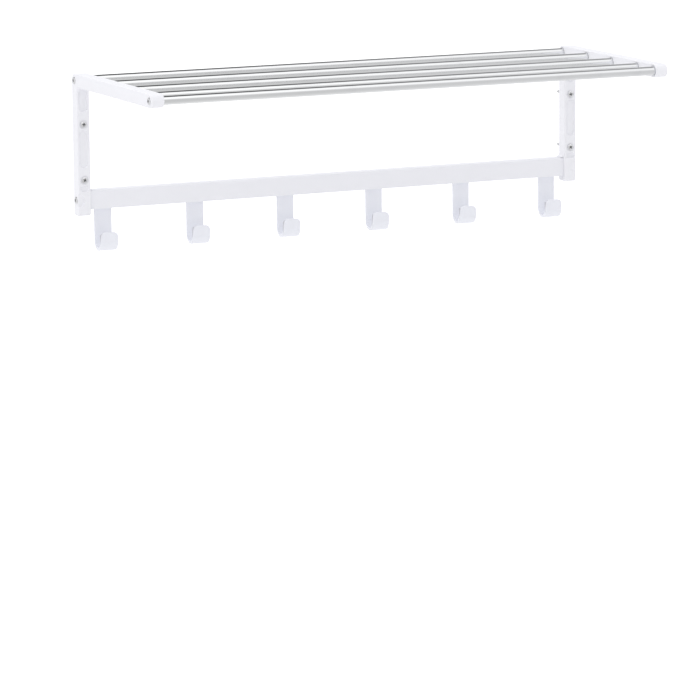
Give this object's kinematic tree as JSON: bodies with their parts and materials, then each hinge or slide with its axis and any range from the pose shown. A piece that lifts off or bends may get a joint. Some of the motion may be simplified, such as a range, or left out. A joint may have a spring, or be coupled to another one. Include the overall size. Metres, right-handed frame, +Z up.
{
  "type": "wall hook rack",
  "caption": "White wall-mounted hat shelf with chrome tubes between two L brackets and a rail below that carries sliding J-shaped coat hooks.",
  "frame": {"origin": "on the wall plane, at the centre of the rectangle of four wall screws", "axes": "+X along the shelf, to the right as seen from the room; +Y into the wall; +Z up"},
  "size_m": [0.8036, 0.33, 0.2565],
  "materials": {
    "bracket_paint": "satin white powder coat on cast aluminium",
    "rail_paint": "satin white powder coat on extruded aluminium",
    "hook_paint": "satin white powder coat on cast zinc",
    "tube_chrome": "bright chrome plate on steel tube",
    "screw_steel": "zinc-plated steel, bright",
    "plug_zinc": "bare metal, as turned"
  },
  "bodies": {
    "rack": {"bracket_left": "bracket_paint", "bracket_right": "bracket_paint", "shelf_tube_1": "tube_chrome", "shelf_tube_2": "tube_chrome", "shelf_tube_3": "tube_chrome", "shelf_tube_4": "tube_chrome", "shelf_tube_5": "tube_chrome", "tube_plug_rear_left": "plug_zinc", "tube_plug_rear_right": "plug_zinc", "tube_plug_front_left": "plug_zinc", "tube_plug_front_right": "plug_zinc", "hook_rail": "rail_paint", "rail_plug_left": "plug_zinc", "rail_plug_right": "plug_zinc", "tube_screw_rear_left": "screw_steel", "tube_screw_rear_right": "screw_steel", "tube_screw_front_left": "screw_steel", "tube_screw_front_right": "screw_steel", "rail_screw_left": "screw_steel", "rail_screw_right": "screw_steel", "wall_screw_upper_left": "screw_steel", "wall_screw_upper_right": "screw_steel", "wall_screw_lower_left": "screw_steel", "wall_screw_lower_right": "screw_steel"},
    "hook_1": {"hook_1": "hook_paint"},
    "hook_2": {"hook_2": "hook_paint"},
    "hook_3": {"hook_3": "hook_paint"},
    "hook_4": {"hook_4": "hook_paint"},
    "hook_5": {"hook_5": "hook_paint"},
    "hook_6": {"hook_6": "hook_paint"}
  },
  "joints": [
    {"name": "hook_1_slide", "type": "slide", "parent": "rack", "child": "hook_1", "axis": [1, 0, 0], "range_m": [-0.0025, 0.057]},
    {"name": "hook_2_slide", "type": "slide", "parent": "rack", "child": "hook_2", "axis": [1, 0, 0], "range_m": [-0.057, 0.057]},
    {"name": "hook_3_slide", "type": "slide", "parent": "rack", "child": "hook_3", "axis": [1, 0, 0], "range_m": [-0.057, 0.057]},
    {"name": "hook_4_slide", "type": "slide", "parent": "rack", "child": "hook_4", "axis": [1, 0, 0], "range_m": [-0.057, 0.057]},
    {"name": "hook_5_slide", "type": "slide", "parent": "rack", "child": "hook_5", "axis": [1, 0, 0], "range_m": [-0.057, 0.057]},
    {"name": "hook_6_slide", "type": "slide", "parent": "rack", "child": "hook_6", "axis": [1, 0, 0], "range_m": [-0.057, 0.0025]}
  ]
}
